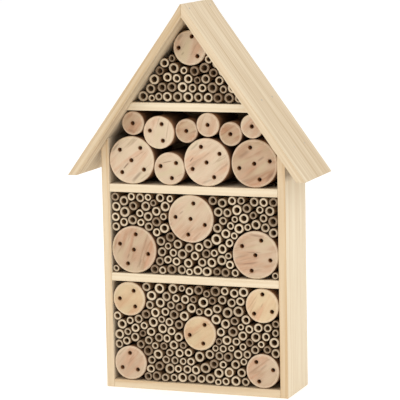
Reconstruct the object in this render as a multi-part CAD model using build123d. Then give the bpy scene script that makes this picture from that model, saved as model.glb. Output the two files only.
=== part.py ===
from build123d import *

import math
import os
import random

# Insect hotel: a narrow pine house on four floors. Debarked logs with drilled holes and
# lengths of bamboo cane fill it from the front. It stands on its base or hangs by the
# keyhole plate on its back.
# Millimetres. +X right, +Y to the back, +Z up, seen from the open front.
# The origin is the bottom centre of the overall box, halfway through the roof's depth.

# body
BODY_WIDTH = 240.0
BODY_DEPTH = 78.0
BOARD = 10.0
BACK_PLY = 4.0
BACK_INSET = 3.0

# roof
ROOF_ANGLE = 54.0
ROOF_OVERHANG = 26.0
RIDGE_UNDERSIDE_Z = 466.5
RIDGE_FLAT = 2.0
EAVE_Z = 271.0

# upper faces of the floors
BASE_TOP = 10.0
LOWER_SHELF_TOP = 146.0
MIDDLE_SHELF_TOP = 258.0
ATTIC_SHELF_TOP = 360.0

# logs
LARGE_LOG = 29.75
MEDIUM_LOG = 21.5
SLIM_LOG = 20.3
SMALL_LOG = 14.8
DRILL_RADIUS = 2.5
LOG_CHAMFER = 1.6

# bamboo canes
CANE_RADII = (3.9, 6.7)
CANE_RADIUS_MODE = 5.9
CANE_WALL_SHARE = 0.4
CANE_GAP = (0.5, 1.6)
CANE_SPREAD_GAP = 1.8
CANE_SPREAD_ROUNDS = 120
CANE_SPREAD_STEP = 0.2
CANE_SETBACK = (0.6, 4.2)
CANE_TRIES = 6
ATTIC_CANES_TOP = 420.0

# fasteners
NAIL_RADIUS = 0.8
NAIL_LENGTH = 20.0
BRAD_LENGTH = 14.0
BRAD_REACH = 75.0
ATTIC_BRAD_REACH = 50.0
HEAD_RADIUS = 1.2
HEAD_THICKNESS = 0.7
NAIL_PLAY = 0.05
NAIL_EDGE = 16.0
ROOF_NAIL_INSET = 0.8
RIDGE_NAIL_DROP = 9.0
ATTIC_NAIL_DROP = 1.5

# keyhole hanger
HANGER_Z = 430.0
HANGER_WIDTH = 44.0
HANGER_HEIGHT = 22.0
HANGER_THICKNESS = 1.5
HANGER_CORNER = 8.0
KEYHOLE_RADIUS = 4.5
KEYHOLE_SLOT_RADIUS = 2.2
KEYHOLE_SLOT_RISE = 7.5
HANGER_SCREW_SPACING = 32.0
HANGER_SCREW_RADIUS = 1.3
HANGER_SCREW_LENGTH = 5.2
HANGER_CLEARANCE_RADIUS = 8.0
HANGER_SCREW_HEAD = 2.8
HANGER_SCREW_HEAD_HEIGHT = 1.2

# small gap between a filling piece and whatever it stands next to
CLEAR = 0.2
# lengths and areas below this count as nothing
TINY = 1e-6
# seats at the same height to this many decimals count as level
LEVEL_DIGITS = 4

TAN = math.tan(math.radians(ROOF_ANGLE))
SIN = math.sin(math.radians(ROOF_ANGLE))
COS = math.cos(math.radians(ROOF_ANGLE))

HALF_WIDTH = BODY_WIDTH / 2
INNER_HALF = HALF_WIDTH - BOARD
REAR_Y = (BODY_DEPTH + ROOF_OVERHANG) / 2
ROOF_FRONT_Y = -REAR_Y
BODY_FRONT_Y = ROOF_FRONT_Y + ROOF_OVERHANG
BACK_REAR_Y = REAR_Y - BACK_INSET
BACK_FRONT_Y = BACK_REAR_Y - BACK_PLY

# where the outer faces of the roof boards would meet, and the flat along the ridge just below
RIDGE_OUTER_Z = RIDGE_UNDERSIDE_Z + BOARD / COS
RIDGE_TOP_Z = RIDGE_OUTER_Z - RIDGE_FLAT / 2 * TAN


def roof_underside_z(x):
    """Height of the roof's underside at x."""
    return RIDGE_UNDERSIDE_Z - abs(x) * TAN


def roof_underside_x(z):
    """Half-width under the roof at height z."""
    return (RIDGE_UNDERSIDE_Z - z) / TAN


def slab(outline, front_y, rear_y):
    """Extrude an outline of (x, z) points from front_y to rear_y."""
    corners = [Vector(x, rear_y, z) for x, z in outline]
    face = make_face(Polyline(*corners, close=True))
    return extrude(face, amount=rear_y - front_y, dir=(0, -1, 0))


def rod(start, direction, radius, length):
    """A cylinder that starts at a point and runs along a direction."""
    place = Plane(origin=start, z_dir=direction)
    return extrude(place * Circle(radius), amount=length)


def nail(start, direction, length, play=0.0):
    """A flat-headed nail whose head is flush at start. With play it is the hole for it."""
    shank = rod(start, direction, NAIL_RADIUS + play, length + play)
    head = rod(start, direction, HEAD_RADIUS + play, HEAD_THICKNESS + play)
    return shank + head


# ---------------------------------------------------------------- boards


def side_panel(side):
    """Upright side whose top end is cut to the roof's slope. side is -1 or 1."""
    outer = side * HALF_WIDTH
    inner = side * INNER_HALF
    outline = [
        (outer, 0),
        (inner, 0),
        (inner, roof_underside_z(inner)),
        (outer, roof_underside_z(outer)),
    ]
    return slab(outline, BODY_FRONT_Y, REAR_Y)


def floor_board(top):
    """Horizontal board between the side panels."""
    outline = [(-INNER_HALF, top - BOARD), (INNER_HALF, top - BOARD), (INNER_HALF, top), (-INNER_HALF, top)]
    return slab(outline, BODY_FRONT_Y, BACK_FRONT_Y)


def attic_shelf():
    """Highest floor. Its ends are cut to the slope and lie against the roof boards."""
    low_x = roof_underside_x(ATTIC_SHELF_TOP - BOARD)
    top_x = roof_underside_x(ATTIC_SHELF_TOP)
    outline = [
        (-low_x, ATTIC_SHELF_TOP - BOARD),
        (low_x, ATTIC_SHELF_TOP - BOARD),
        (top_x, ATTIC_SHELF_TOP),
        (-top_x, ATTIC_SHELF_TOP),
    ]
    return slab(outline, BODY_FRONT_Y, BACK_FRONT_Y)


def back_panel():
    """Plywood back, let in between the side panels and under the roof."""
    outline = [
        (-INNER_HALF, 0),
        (INNER_HALF, 0),
        (INNER_HALF, roof_underside_z(INNER_HALF)),
        (0, RIDGE_UNDERSIDE_Z),
        (-INNER_HALF, roof_underside_z(INNER_HALF)),
    ]
    window = rod((0, BACK_REAR_Y, HANGER_Z), (0, -1, 0), HANGER_CLEARANCE_RADIUS, BACK_PLY)
    return slab(outline, BACK_FRONT_Y, BACK_REAR_Y) - window


def eave_x(ridge_z):
    """Half-span at the level cut of the eaves, for a face that meets the ridge at ridge_z."""
    return (ridge_z - EAVE_Z) / TAN


def roof_board(side):
    """Roof board mitred against the other one at the ridge. side is -1 or 1."""
    outline = [
        (side * eave_x(RIDGE_UNDERSIDE_Z), EAVE_Z),
        (0, RIDGE_UNDERSIDE_Z),
        (0, RIDGE_TOP_Z),
        (side * RIDGE_FLAT / 2, RIDGE_TOP_Z),
        (side * eave_x(RIDGE_OUTER_Z), EAVE_Z),
    ]
    return slab(outline, ROOF_FRONT_Y, REAR_Y)


# ---------------------------------------------------------------- fasteners

NAIL_ROWS_Y = (BODY_FRONT_Y + NAIL_EDGE, BACK_FRONT_Y - NAIL_EDGE)
ATTIC_NAIL_Z = ATTIC_SHELF_TOP - ATTIC_NAIL_DROP
SIDE_NAIL_X = HALF_WIDTH - ROOF_NAIL_INSET


def side_nail_places():
    """Nails driven level through the side panels into the base and the two lower shelves."""
    places = []
    for side in (-1, 1):
        for top in (BASE_TOP, LOWER_SHELF_TOP, MIDDLE_SHELF_TOP):
            for y in NAIL_ROWS_Y:
                start = (side * HALF_WIDTH, y, top - BOARD / 2)
                places.append((start, (-side, 0, 0), NAIL_LENGTH))
    return places


def roof_nail_places():
    """Nails driven square through the roof boards. At the ridge they join the right board to the left."""
    places = []
    for side in (-1, 1):
        inward = (-side * SIN, 0, -COS)
        seats = [(SIDE_NAIL_X, roof_underside_z(SIDE_NAIL_X)), (roof_underside_x(ATTIC_NAIL_Z), ATTIC_NAIL_Z)]
        for x, z in seats:
            for y in NAIL_ROWS_Y:
                start = (side * (x + BOARD * SIN), y, z + BOARD * COS)
                places.append((start, inward, NAIL_LENGTH))
    ridge_x = RIDGE_NAIL_DROP * COS
    ridge_z = RIDGE_OUTER_Z - RIDGE_NAIL_DROP * SIN
    for y in (ROOF_FRONT_Y + NAIL_EDGE, REAR_Y - NAIL_EDGE):
        places.append(((ridge_x, y, ridge_z), (-SIN, 0, -COS), NAIL_LENGTH))
    return places


def back_brad_places():
    """Brads driven through the back panel into the rear edges of the floors."""
    rows = [(top, BRAD_REACH) for top in (BASE_TOP, LOWER_SHELF_TOP, MIDDLE_SHELF_TOP)]
    rows.append((ATTIC_SHELF_TOP, ATTIC_BRAD_REACH))
    places = []
    for top, reach in rows:
        for x in (-reach, 0, reach):
            places.append(((x, BACK_REAR_Y, top - BOARD / 2), (0, -1, 0), BRAD_LENGTH))
    return places


def hanger_screw_places():
    """Two screws hold the hanger plate to the back panel."""
    y = BACK_REAR_Y + HANGER_THICKNESS
    return [((side * HANGER_SCREW_SPACING / 2, y, HANGER_Z), (0, -1, 0)) for side in (-1, 1)]


def hanger_screw(start, inward):
    """Pan-head screw, its head standing on the plate."""
    shank = rod(start, inward, HANGER_SCREW_RADIUS, HANGER_SCREW_LENGTH)
    outward = (-inward[0], -inward[1], -inward[2])
    return shank + rod(start, outward, HANGER_SCREW_HEAD, HANGER_SCREW_HEAD_HEIGHT)


def hanger_screw_hole(start, inward):
    """Clearance for a screw's shank, through the plate and the panel."""
    return rod(start, inward, HANGER_SCREW_RADIUS + NAIL_PLAY, HANGER_SCREW_LENGTH + NAIL_PLAY)


def hanger_plate():
    """Steel plate with rounded ends and a keyhole for a screw in the wall."""
    rear = Plane(origin=(0, BACK_REAR_Y + HANGER_THICKNESS, HANGER_Z), x_dir=(1, 0, 0), z_dir=(0, 1, 0))
    sheet = extrude(rear * RectangleRounded(HANGER_WIDTH, HANGER_HEIGHT, HANGER_CORNER), amount=-HANGER_THICKNESS)
    start = (0, BACK_REAR_Y + HANGER_THICKNESS, HANGER_Z)
    slot_top = (0, BACK_REAR_Y + HANGER_THICKNESS, HANGER_Z + KEYHOLE_SLOT_RISE)
    keyhole = rod(start, (0, -1, 0), KEYHOLE_RADIUS, HANGER_THICKNESS)
    keyhole += rod(slot_top, (0, -1, 0), KEYHOLE_SLOT_RADIUS, HANGER_THICKNESS)
    slot = Box(2 * KEYHOLE_SLOT_RADIUS, HANGER_THICKNESS, KEYHOLE_SLOT_RISE)
    middle_y = BACK_REAR_Y + HANGER_THICKNESS / 2
    keyhole += Pos(0, middle_y, HANGER_Z + KEYHOLE_SLOT_RISE / 2) * slot
    plate = sheet - keyhole
    for place in hanger_screw_places():
        plate -= hanger_screw_hole(*place)
    return plate


# ---------------------------------------------------------------- logs

# name: (x, z, radius, set back from the body's front, radius of the hole circle, angles of its holes)
LARGE_LOGS = {
    "log_room_large_log_1": (-80.0, 288.0, LARGE_LOG, 1.0, 19.8, (140, 52, -130, -34)),
    "log_room_large_log_2": (19.0, 288.0, LARGE_LOG, 1.0, 20.2, (110, 33, -155, -62)),
    "log_room_large_log_3": (80.0, 288.0, LARGE_LOG, 2.5, 20.2, (104, 10, -163, -71)),
    "middle_room_log_left": (-80.0, 176.0, LARGE_LOG, 1.5, 19.6, (81, 160, -14, -115)),
    "middle_room_log_centre": (-3.5, 217.5, LARGE_LOG, 1.0, 19.8, (78, 175, -20, -100)),
    "middle_room_log_right": (80.0, 176.0, LARGE_LOG, 1.0, 20.0, (67, 148, -16, -105)),
}
MEDIUM_LOGS = {
    "attic_log": (-0.5, 427.5, MEDIUM_LOG, 2.0, 14.2, (77, 180, -45)),
    "log_room_slim_log_1": (-43.3, 323.2, SLIM_LOG, 1.0, 11.4, (67, 169, -60)),
    "log_room_slim_log_2": (-30.5, 278.6, SLIM_LOG, 2.0, 11.8, (165, 39, -74)),
    "bottom_room_log_top_left": (-88.0, 113.5, MEDIUM_LOG, 1.0, 12.4, (58, 180, -49)),
    "bottom_room_log_top_right": (87.5, 113.5, MEDIUM_LOG, 1.0, 14.4, (87, -136, -27)),
    "bottom_room_log_centre": (5.0, 74.5, MEDIUM_LOG, 1.5, 13.2, (58, -169, -69)),
    "bottom_room_log_low_left": (-88.0, 32.0, MEDIUM_LOG, 1.0, 12.6, (92, -150, -40)),
    "bottom_room_log_low_right": (87.0, 32.0, MEDIUM_LOG, 1.0, 13.8, (126, 10, -110)),
}
SMALL_LOGS = {
    "log_room_small_log_1": (-77.5, 334.0, SMALL_LOG, 2.0, 0.0, ()),
    "log_room_small_log_2": (-7.8, 325.6, SMALL_LOG, 4.0, 0.0, ()),
    "log_room_small_log_3": (21.2, 334.0, SMALL_LOG, 1.0, 0.0, ()),
    "log_room_small_log_4": (49.6, 323.2, SMALL_LOG, 3.5, 0.0, ()),
    "log_room_small_log_5": (78.0, 333.4, SMALL_LOG, 1.5, 0.0, ()),
}
ALL_LOGS = LARGE_LOGS | MEDIUM_LOGS | SMALL_LOGS


def log_piece(name):
    """A round log with a bevelled front rim, drilled right through; the back panel closes the holes."""
    x, z, radius, setback, reach, angles = ALL_LOGS[name]
    front = BODY_FRONT_Y + setback
    length = BACK_FRONT_Y - CLEAR - front
    log = rod((x, front, z), (0, 1, 0), radius, length)
    log = chamfer(log.edges().sort_by(Axis.Y)[0], LOG_CHAMFER)
    holes = [(reach * math.cos(math.radians(a)), reach * math.sin(math.radians(a))) for a in angles]
    if name not in MEDIUM_LOGS:
        holes.append((0, 0))
    for dx, dz in holes:
        log -= rod((x + dx, front, z + dz), (0, 1, 0), DRILL_RADIUS, length)
    return log


# ---------------------------------------------------------------- bamboo canes


def walls_of_room(floor_z, ceiling_z):
    """Floor, ceiling and side walls as half-planes: nx * x + nz * z >= c inside."""
    return [(0, 1, floor_z), (0, -1, -ceiling_z), (1, 0, -INNER_HALF), (-1, 0, -INNER_HALF)]


def walls_of_attic():
    """Floor, highest level of the canes and the two roof slopes as half-planes."""
    slope_c = -COS * RIDGE_UNDERSIDE_Z
    return [(0, 1, ATTIC_SHELF_TOP), (0, -1, -ATTIC_CANES_TOP), (SIN, -COS, slope_c), (-SIN, -COS, slope_c)]


def beside_two_walls(first, second, r):
    """Centre of a circle of radius r against two walls."""
    ax, az, ac = first
    bx, bz, bc = second
    turn = ax * bz - az * bx
    if abs(turn) < TINY:
        return []
    return [(((ac + r) * bz - (bc + r) * az) / turn, ((bc + r) * ax - (ac + r) * bx) / turn)]


def beside_wall_and_circle(wall, circle, r):
    """Centres of a circle of radius r against a wall and another circle."""
    nx, nz, c = wall
    cx, cz, cr = circle
    away = c + r - (nx * cx + nz * cz)
    reach = (cr + r) ** 2 - away**2
    if reach < 0:
        return []
    foot_x = cx + nx * away
    foot_z = cz + nz * away
    half = math.sqrt(reach)
    return [(foot_x - nz * half, foot_z + nx * half), (foot_x + nz * half, foot_z - nx * half)]


def beside_two_circles(first, second, r):
    """Centres of a circle of radius r against two other circles."""
    ax, az, ar = first
    bx, bz, br = second
    gap = math.dist((ax, az), (bx, bz))
    ra = ar + r
    rb = br + r
    if gap > ra + rb or gap < abs(ra - rb) or gap < TINY:
        return []
    along = (ra**2 - rb**2 + gap**2) / (2 * gap)
    half = math.sqrt(max(ra**2 - along**2, 0))
    ux = (bx - ax) / gap
    uz = (bz - az) / gap
    foot_x = ax + ux * along
    foot_z = az + uz * along
    return [(foot_x - uz * half, foot_z + ux * half), (foot_x + uz * half, foot_z - ux * half)]


def fits(centre, r, walls, circles):
    """Is a circle of radius r here clear of every wall and circle?"""
    x, z = centre
    if any(nx * x + nz * z < c + r - TINY for nx, nz, c in walls):
        return False
    return all(math.dist(centre, (cx, cz)) >= cr + r - TINY for cx, cz, cr in circles)


def lowest_seat(r, walls, circles):
    """Lowest place where a circle of radius r touches two neighbours and overlaps none."""
    seats = []
    for i, wall in enumerate(walls):
        for other in walls[:i]:
            seats += beside_two_walls(wall, other, r)
        for circle in circles:
            seats += beside_wall_and_circle(wall, circle, r)
    for i, circle in enumerate(circles):
        for other in circles[:i]:
            seats += beside_two_circles(circle, other, r)
    seats.sort(key=lambda seat: (round(seat[1], LEVEL_DIGITS), seat[0]))
    for seat in seats:
        if fits(seat, r, walls, circles):
            return seat
    return None


def settle_canes(walls, log_circles, seed):
    """Drop canes of mixed thickness into a room until no more go in: (x, z, radius) each."""
    draw = random.Random(seed)
    circles = list(log_circles)
    canes = []
    low, high = CANE_RADII
    misses = 0
    while misses < CANE_TRIES:
        radius = draw.triangular(low, high, CANE_RADIUS_MODE)
        if misses:
            radius = low + (radius - low) * (1 - misses / CANE_TRIES)
        half_gap = draw.uniform(*CANE_GAP) / 2
        seat = lowest_seat(radius + half_gap, walls, circles)
        if seat is None:
            misses += 1
            continue
        misses = 0
        circles.append((*seat, radius + half_gap))
        canes.append((*seat, radius))
    return canes


def gap_and_direction(x, z, radius, wall=None, circle=None):
    """Gap to a wall or another circle, with the unit direction that leads away from it."""
    if wall:
        nx, nz, c = wall
        return nx * x + nz * z - c - radius, nx, nz
    cx, cz, cr = circle
    away = math.dist((x, z), (cx, cz))
    return away - radius - cr, (x - cx) / away, (z - cz) / away


def spread_canes(canes, walls, log_circles):
    """Even out the gaps: each cane backs away from whatever is closer than the spread gap."""
    for _ in range(CANE_SPREAD_ROUNDS):
        moved = []
        for i, (x, z, radius) in enumerate(canes):
            others = [c for j, c in enumerate(canes) if j != i] + log_circles
            gaps = [gap_and_direction(x, z, radius, wall=w) for w in walls]
            gaps += [gap_and_direction(x, z, radius, circle=c) for c in others]
            near = [g for g in gaps if g[0] < CANE_SPREAD_GAP]
            dx = sum((CANE_SPREAD_GAP - gap) * ux for gap, ux, _ in near)
            dz = sum((CANE_SPREAD_GAP - gap) * uz for gap, _, uz in near)
            moved.append((x + CANE_SPREAD_STEP * dx, z + CANE_SPREAD_STEP * dz, radius))
        canes = moved
    return canes


def cane(x, z, radius, setback):
    """A length of bamboo cut between two knuckles, hollow from end to end."""
    front = BODY_FRONT_Y + setback
    section = Circle(radius) - Circle(radius * (1 - CANE_WALL_SHARE))
    return extrude(Plane(origin=(x, front, z), z_dir=(0, 1, 0)) * section, amount=BACK_FRONT_Y - CLEAR - front)


def circles_of(names):
    """The outlines of some logs, as obstacles for the canes."""
    return [(ALL_LOGS[n][0], ALL_LOGS[n][1], ALL_LOGS[n][2] + CLEAR) for n in names]


def cane_rooms():
    """The rooms that hold canes: name, walls, seeds of the layout and the setbacks, number of bundles."""
    return [
        ("attic", walls_of_attic(), 22, 23, 4),
        ("middle_room", walls_of_room(LOWER_SHELF_TOP, MIDDLE_SHELF_TOP - BOARD), 9, 10, 8),
        ("bottom_room", walls_of_room(BASE_TOP, LOWER_SHELF_TOP - BOARD), 13, 14, 10),
    ]


def cane_bundles(room, walls, seed, setback_seed, bundle_count):
    """All canes of one room, split from left to right into bundles of about equal number."""
    names = [name for name in ALL_LOGS if name.startswith(room)]
    log_circles = circles_of(names)
    canes = sorted(spread_canes(settle_canes(walls, log_circles, seed), walls, log_circles))
    draw = random.Random(setback_seed)
    solids = [cane(x, z, radius, draw.uniform(*CANE_SETBACK)) for x, z, radius in canes]
    bundles = {}
    for i in range(bundle_count):
        first = i * len(solids) // bundle_count
        last = (i + 1) * len(solids) // bundle_count
        bundles[f"{room}_canes_{i + 1}"] = Compound(children=solids[first:last])
    return bundles


# ---------------------------------------------------------------- assembly


def boards():
    """The nine boards, with holes for every fastener that passes into them."""
    pieces = {
        "left_side_panel": side_panel(-1),
        "right_side_panel": side_panel(1),
        "base_panel": floor_board(BASE_TOP),
        "lower_shelf": floor_board(LOWER_SHELF_TOP),
        "middle_shelf": floor_board(MIDDLE_SHELF_TOP),
        "attic_shelf": attic_shelf(),
        "back_panel": back_panel(),
        "left_roof_board": roof_board(-1),
        "right_roof_board": roof_board(1),
    }
    places = side_nail_places() + roof_nail_places() + back_brad_places()
    holes = [nail(*place, play=NAIL_PLAY) for place in places]
    holes += [hanger_screw_hole(*place) for place in hanger_screw_places()]
    for name, board in pieces.items():
        box = board.bounding_box()
        near = [hole for hole in holes if box.overlaps(hole.bounding_box())]
        pieces[name] = board - near if near else board
    return pieces


def nails(places):
    """One group of separate nails."""
    return Compound(children=[nail(*place) for place in places])


def assembly():
    """Every node of the insect hotel by name."""
    nodes = boards()
    nodes |= {name: log_piece(name) for name in ALL_LOGS}
    for room in cane_rooms():
        nodes |= cane_bundles(*room)
    nodes["side_nails"] = nails(side_nail_places())
    nodes["roof_nails"] = nails(roof_nail_places())
    nodes["back_panel_brads"] = nails(back_brad_places())
    nodes["hanger_plate"] = hanger_plate()
    nodes["hanger_screws"] = Compound(children=[hanger_screw(*place) for place in hanger_screw_places()])
    return nodes


os.makedirs("parts", exist_ok=True)
for node, shape in assembly().items():
    export_step(shape, f"parts/{node}.step")
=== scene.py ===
import math
import random

import bmesh
import bpy
import numpy as np
from mathutils import Matrix, Vector, noise
from mathutils.geometry import delaunay_2d_cdt


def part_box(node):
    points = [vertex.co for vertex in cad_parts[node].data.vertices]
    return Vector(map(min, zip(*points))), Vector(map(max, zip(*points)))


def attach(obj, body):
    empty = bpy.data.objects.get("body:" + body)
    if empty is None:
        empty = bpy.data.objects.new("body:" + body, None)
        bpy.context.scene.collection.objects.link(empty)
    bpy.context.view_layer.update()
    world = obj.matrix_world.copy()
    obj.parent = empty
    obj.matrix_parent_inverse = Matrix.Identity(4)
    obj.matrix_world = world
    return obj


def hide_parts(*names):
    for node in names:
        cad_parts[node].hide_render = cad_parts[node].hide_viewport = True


# An insect hotel: pine boards, drilled logs and bamboo canes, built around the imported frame.
# Metres. +X right, +Y to the back, +Z up; the open front faces -Y.

MM = 0.001
ON_FACE = 0.01 * MM

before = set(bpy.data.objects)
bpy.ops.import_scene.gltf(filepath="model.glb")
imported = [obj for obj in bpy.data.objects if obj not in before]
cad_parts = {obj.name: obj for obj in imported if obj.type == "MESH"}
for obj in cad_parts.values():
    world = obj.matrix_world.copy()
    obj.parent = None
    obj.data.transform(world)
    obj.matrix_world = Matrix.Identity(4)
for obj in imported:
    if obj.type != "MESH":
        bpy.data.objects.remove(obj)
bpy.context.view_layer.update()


# ---- camera and light

CAMERA_AZIMUTH = 20.95
CAMERA_ELEVATION = 8.55
CAMERA_ROLL = -1.16
CAMERA_DISTANCE = 2.691
CAMERA_LENS = 196.2
CAMERA_AIM = Vector((0.0, 0.0, 0.2375))


def direction(azimuth, elevation):
    """Unit vector from the object towards a viewer at this azimuth and elevation."""
    a = math.radians(azimuth)
    e = math.radians(elevation)
    return Vector((math.sin(a) * math.cos(e), -math.cos(a) * math.cos(e), math.sin(e)))


def add_object(name, data):
    thing = bpy.data.objects.new(name, data)
    bpy.context.collection.objects.link(thing)
    return thing


def add_camera():
    data = bpy.data.cameras.new("camera")
    data.lens = CAMERA_LENS
    data.sensor_width = 36.0
    data.clip_start = 0.1
    data.clip_end = 100.0
    camera = add_object("camera", data)
    back = direction(CAMERA_AZIMUTH, CAMERA_ELEVATION)
    camera.rotation_mode = "QUATERNION"
    roll = Matrix.Rotation(math.radians(CAMERA_ROLL), 3, "Z").to_quaternion()
    camera.rotation_quaternion = back.to_track_quat("Z", "Y") @ roll
    camera.location = CAMERA_AIM + back * CAMERA_DISTANCE
    bpy.context.scene.camera = camera


def add_softbox(name, azimuth, elevation, distance, size, watts):
    """A square area light that faces the middle of the object."""
    data = bpy.data.lights.new(name, "AREA")
    data.size = size
    data.energy = watts
    light = add_object(name, data)
    back = direction(azimuth, elevation)
    light.location = Vector((0, 0, 0.25)) + back * distance
    light.rotation_mode = "QUATERNION"
    light.rotation_quaternion = back.to_track_quat("Z", "Y")


def add_world(strength):
    world = bpy.data.worlds.new("studio")
    world.use_nodes = True
    background = world.node_tree.nodes["Background"]
    background.inputs["Color"].default_value = (1, 1, 1, 1)
    background.inputs["Strength"].default_value = strength
    bpy.context.scene.world = world


# ---- materials


def srgb(red, green, blue):
    """A colour given in 0 to 255 display values, as the linear colour that a shader wants."""
    out = []
    for value in (red, green, blue):
        v = value / 255
        out.append(v / 12.92 if v <= 0.04045 else ((v + 0.055) / 1.055) ** 2.4)
    return (*out, 1.0)


class Shader:
    """Builds the node tree of one procedural material."""

    def __init__(self, name):
        self.material = bpy.data.materials.new(name)
        self.material.use_nodes = True
        self.tree = self.material.node_tree
        self.tree.nodes.clear()

    def node(self, kind, inputs=None, **settings):
        """A new node. Inputs are given by name or number, as values or as sockets to link."""
        node = self.tree.nodes.new("ShaderNode" + kind)
        for key, value in settings.items():
            setattr(node, key, value)
        for key, value in (inputs or {}).items():
            if isinstance(value, bpy.types.NodeSocket):
                self.tree.links.new(value, node.inputs[key])
            else:
                node.inputs[key].default_value = value
        return node

    def attribute(self, name):
        node = self.node("Attribute", attribute_name=name)
        return node.outputs["Vector" if name == "grain" else "Fac"]

    def maths(self, operation, a, b=0.0, c=0.0, clamp=False):
        return self.node("Math", {0: a, 1: b, 2: c}, operation=operation, use_clamp=clamp).outputs[0]

    def total(self, start, *terms, clamp=False):
        """start plus each term's value times its weight."""
        for value, weight in terms:
            start = self.maths("MULTIPLY_ADD", value, weight, start, clamp=clamp and value is terms[-1][0])
        return start

    def scaled(self, vector, factors):
        return self.node("VectorMath", {0: vector, 1: factors}, operation="MULTIPLY").outputs[0]

    def length(self, vector):
        return self.node("VectorMath", {0: vector}, operation="LENGTH").outputs["Value"]

    def noise(self, vector, scale, detail=3.0, roughness=0.5, distortion=0.0):
        """Noise over a vector. The scale is one number, or one for each axis."""
        if isinstance(scale, tuple):
            vector = self.scaled(vector, scale)
            scale = 1.0
        inputs = {"Vector": vector, "Scale": scale, "Detail": detail}
        inputs |= {"Roughness": roughness, "Distortion": distortion}
        return self.node("TexNoise", inputs).outputs["Fac"]

    def ramp(self, factor, stops):
        """A ramp through (position, grey) stops."""
        node = self.node("ValToRGB", {"Fac": factor})
        elements = node.color_ramp.elements
        while len(elements) < len(stops):
            elements.new(0.5)
        for element, (position, grey) in zip(elements, stops):
            element.position = position
            element.color = (grey, grey, grey, 1)
        return node.outputs["Color"]

    def mix(self, factor, a, b):
        """Colour a where the factor is 0, b where it is 1."""
        return self.node("Mix", {0: factor, 6: a, 7: b}, data_type="RGBA").outputs[2]

    def bump(self, height, strength, distance):
        inputs = {"Height": height, "Strength": strength, "Distance": distance}
        return self.node("Bump", inputs).outputs["Normal"]

    def finish(self, colour, roughness, normal, specular=0.5, **values):
        """A principled surface. Other values are set straight on its sockets."""
        inputs = {"Base Color": colour, "Roughness": roughness, "Normal": normal}
        inputs["Specular IOR Level"] = specular
        inputs |= {key.replace("_", " "): value for key, value in values.items()}
        surface = self.node("BsdfPrincipled", inputs)
        output = self.node("OutputMaterial")
        self.tree.links.new(surface.outputs[0], output.inputs[0])
        return self.material


def pine_material(name, light, dark, streaks):
    """Planed pine as a solid texture: grain runs along the third axis of the grain attribute."""
    s = Shader(name)
    grain = s.attribute("grain")
    tone = s.attribute("tone")
    wander = s.noise(grain, (9, 9, 1.2), 2.0)
    across = s.length(s.scaled(grain, (1, 1, 0)))
    ring = s.maths("FRACT", s.total(0.0, (across, 190.0), (wander, 3.2)))
    late = s.ramp(ring, [(0.0, 0.15), (0.12, 0.0), (0.5, 0.1), (0.86, 0.85), (0.95, 1.0), (1.0, 0.15)])
    fibre = s.noise(grain, (900, 900, 22), 3.0, 0.6)
    streak = s.noise(grain, (150, 150, 3.5), 3.0, 0.55)
    patch = s.noise(grain, (30, 30, 8), 2.0)
    figure = s.maths("MULTIPLY", late, s.ramp(patch, [(0.25, 0.15), (0.75, 0.75)]))
    streak = s.ramp(streak, [(0.32, 0.0), (0.72, 1.0)])
    amount = s.total(-0.425, (figure, 0.55), (streak, streaks), (fibre, 0.35), (tone, 0.5), clamp=True)
    colour = s.mix(amount, light, dark)
    # painted shade: the side panels' outer faces darken towards this brown under the eaves
    colour = s.mix(s.attribute("painted_shade_and_marks"), colour, srgb(104, 84, 62))
    normal = s.bump(s.total(fibre, (late, 0.5)), 0.25, 0.0004)
    roughness = s.ramp(fibre, [(0.2, 0.58), (0.8, 0.74)])
    return s.finish(colour, roughness, normal, 0.3)


def log_end_material(name, pale, brown):
    """Sanded end grain of a log: faint rings, a slanting darker figure with thin lines, and a blush."""
    s = Shader(name)
    grain = s.attribute("grain")
    tone = s.attribute("tone")
    flat = s.scaled(grain, (1, 1, 0))
    wander = s.noise(flat, 60.0, 3.0)
    across = s.length(flat)
    ring = s.maths("FRACT", s.total(0.0, (across, 520.0), (wander, 2.6)))
    late = s.ramp(ring, [(0.0, 0.3), (0.2, 0.0), (0.6, 0.15), (0.9, 1.0), (1.0, 0.3)])
    slant = s.noise(grain, (95, 22, 1), 2.0)
    figure = s.ramp(slant, [(0.3, 0.0), (0.5, 0.25), (0.62, 0.85), (0.68, 0.3), (0.8, 0.55)])
    line = s.noise(grain, (150, 17, 1), 2.5, 0.5, 0.6)
    dark_line = s.ramp(line, [(0.0, 0.0), (0.6, 0.0), (0.66, 0.75), (0.7, 0.15), (1.0, 0.0)])
    pores = s.noise(flat, 2400.0, 2.0, 0.7)
    patch = s.noise(flat, 38.0, 2.0)
    contrast = s.total(0.2, (tone, 0.35))
    grown = s.total(-0.85, (late, 0.16), (figure, contrast), (patch, 0.5))
    amount = s.total(grown, (pores, 0.4), (tone, 1.0), clamp=True)
    colour = s.mix(amount, pale, brown)
    blush = s.noise(grain, (75, 20, 1), 2.0, 0.6, 0.4)
    colour = s.mix(s.ramp(blush, [(0.5, 0.0), (0.72, 0.5)]), colour, srgb(200, 148, 116))
    colour = s.mix(s.ramp(blush, [(0.28, 0.5), (0.48, 0.0)]), colour, srgb(190, 176, 140))
    colour = s.mix(s.maths("MULTIPLY", dark_line, 0.5), colour, srgb(128, 96, 72))
    colour = s.mix(s.maths("MULTIPLY", s.attribute("rim"), 0.5), colour, srgb(226, 206, 178))
    colour = s.mix(s.attribute("painted_shade_and_marks"), colour, srgb(74, 44, 24))
    normal = s.bump(s.total(pores, (late, 0.3)), 0.3, 0.0003)
    return s.finish(colour, 0.78, normal, 0.22)


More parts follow.
